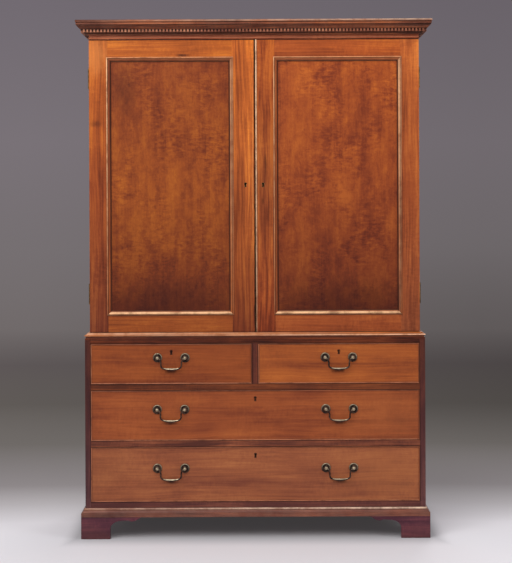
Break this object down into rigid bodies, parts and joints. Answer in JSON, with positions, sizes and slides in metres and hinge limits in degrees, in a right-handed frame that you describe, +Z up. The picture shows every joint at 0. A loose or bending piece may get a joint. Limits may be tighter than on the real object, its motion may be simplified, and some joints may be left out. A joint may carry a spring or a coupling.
{
  "type": "linen press",
  "caption": "Tall two-part cupboard: sliding trays behind panelled doors under a dentil cornice, above a chest of drawers on bracket feet.",
  "frame": {"origin": "middle of the footprint, on the floor", "axes": "+Z up, the doors and drawers face -Y, +X to the right of someone facing the front"},
  "size_m": [1.312, 0.59, 1.91],
  "materials": {
    "mahogany_front": "polished orange-brown mahogany, straight grained",
    "mahogany_figured": "polished figured mahogany veneer, darker than the frames",
    "mahogany_dark": "dark red-brown mahogany, worn polish",
    "lining_wood": "dry unpolished oak and pine",
    "brass": "aged brass, dark with bright rims"
  },
  "bodies": {
    "carcase": {"frieze_rail": "mahogany_front", "cornice": "mahogany_front", "dentil_band": "mahogany_front", "foot_front_left": "mahogany_dark", "foot_front_right": "mahogany_dark", "foot_back_left": "mahogany_dark", "foot_back_right": "mahogany_dark", "base_moulding": "mahogany_dark", "base_side_left": "mahogany_dark", "base_side_right": "mahogany_dark", "base_bottom_board": "mahogany_dark", "lower_dustboard": "mahogany_dark", "upper_dustboard": "mahogany_dark", "drawer_divider": "mahogany_dark", "top_drawer_rail": "mahogany_dark", "base_top_board": "mahogany_dark", "upper_side_left": "mahogany_dark", "upper_side_right": "mahogany_dark", "base_back_board": "lining_wood", "upper_bottom_board": "lining_wood", "upper_top_board": "lining_wood", "upper_back_board": "lining_wood", "hinge_left_top": "brass", "hinge_left_bottom": "brass", "hinge_right_top": "brass", "hinge_right_bottom": "brass"},
    "door_left": {"door_left_frame": "mahogany_front", "door_left_panel": "mahogany_figured"},
    "door_right": {"door_right_frame": "mahogany_front", "door_right_panel": "mahogany_figured"},
    "tray_1": {"linen_tray_1": "lining_wood"},
    "tray_2": {"linen_tray_2": "lining_wood"},
    "tray_3": {"linen_tray_3": "lining_wood"},
    "tray_4": {"linen_tray_4": "lining_wood"},
    "drawer_short_left": {"drawer_short_left_front": "mahogany_front", "drawer_short_left_box": "lining_wood", "post_short_left_a": "brass", "post_short_left_b": "brass"},
    "drawer_short_right": {"drawer_short_right_front": "mahogany_front", "drawer_short_right_box": "lining_wood", "post_short_right_a": "brass", "post_short_right_b": "brass"},
    "drawer_middle": {"drawer_middle_front": "mahogany_front", "drawer_middle_box": "lining_wood", "post_middle_left_a": "brass", "post_middle_left_b": "brass", "post_middle_right_a": "brass", "post_middle_right_b": "brass"},
    "drawer_bottom": {"drawer_bottom_front": "mahogany_front", "drawer_bottom_box": "lining_wood", "post_bottom_left_a": "brass", "post_bottom_left_b": "brass", "post_bottom_right_a": "brass", "post_bottom_right_b": "brass"},
    "bail_short_left": {"bail_short_left": "brass"},
    "bail_short_right": {"bail_short_right": "brass"},
    "bail_middle_left": {"bail_middle_left": "brass"},
    "bail_middle_right": {"bail_middle_right": "brass"},
    "bail_bottom_left": {"bail_bottom_left": "brass"},
    "bail_bottom_right": {"bail_bottom_right": "brass"}
  },
  "joints": [
    {"name": "door_left_swing", "type": "hinge", "parent": "carcase", "child": "door_left", "pos_m": [-0.6125, -0.225, 1.29875], "axis": [0, 0, -1], "range_deg": [0, 180]},
    {"name": "door_right_swing", "type": "hinge", "parent": "carcase", "child": "door_right", "pos_m": [0.6125, -0.225, 1.29875], "axis": [0, 0, 1], "range_deg": [0, 180]},
    {"name": "tray_1_slide", "type": "slide", "parent": "carcase", "child": "tray_1", "axis": [0, -1, 0], "range_m": [0, 0.025]},
    {"name": "tray_2_slide", "type": "slide", "parent": "carcase", "child": "tray_2", "axis": [0, -1, 0], "range_m": [0, 0.025]},
    {"name": "tray_3_slide", "type": "slide", "parent": "carcase", "child": "tray_3", "axis": [0, -1, 0], "range_m": [0, 0.025]},
    {"name": "tray_4_slide", "type": "slide", "parent": "carcase", "child": "tray_4", "axis": [0, -1, 0], "range_m": [0, 0.025]},
    {"name": "drawer_short_left_slide", "type": "slide", "parent": "carcase", "child": "drawer_short_left", "axis": [0, -1, 0], "range_m": [0, 0.4]},
    {"name": "drawer_short_right_slide", "type": "slide", "parent": "carcase", "child": "drawer_short_right", "axis": [0, -1, 0], "range_m": [0, 0.4]},
    {"name": "drawer_middle_slide", "type": "slide", "parent": "carcase", "child": "drawer_middle", "axis": [0, -1, 0], "range_m": [0, 0.4]},
    {"name": "drawer_bottom_slide", "type": "slide", "parent": "carcase", "child": "drawer_bottom", "axis": [0, -1, 0], "range_m": [0, 0.4]},
    {"name": "bail_short_left_swing", "type": "hinge", "parent": "drawer_short_left", "child": "bail_short_left", "pos_m": [-0.309, -0.2815, 0.665], "axis": [-1, 0, 0], "range_deg": [-10, 95]},
    {"name": "bail_short_right_swing", "type": "hinge", "parent": "drawer_short_right", "child": "bail_short_right", "pos_m": [0.309, -0.2815, 0.665], "axis": [-1, 0, 0], "range_deg": [-10, 95]},
    {"name": "bail_middle_left_swing", "type": "hinge", "parent": "drawer_middle", "child": "bail_middle_left", "pos_m": [-0.311, -0.2815, 0.4745], "axis": [-1, 0, 0], "range_deg": [-10, 95]},
    {"name": "bail_middle_right_swing", "type": "hinge", "parent": "drawer_middle", "child": "bail_middle_right", "pos_m": [0.311, -0.2815, 0.4745], "axis": [-1, 0, 0], "range_deg": [-10, 95]},
    {"name": "bail_bottom_left_swing", "type": "hinge", "parent": "drawer_bottom", "child": "bail_bottom_left", "pos_m": [-0.311, -0.2815, 0.2575], "axis": [-1, 0, 0], "range_deg": [-10, 95]},
    {"name": "bail_bottom_right_swing", "type": "hinge", "parent": "drawer_bottom", "child": "bail_bottom_right", "pos_m": [0.311, -0.2815, 0.2575], "axis": [-1, 0, 0], "range_deg": [-10, 95]}
  ]
}
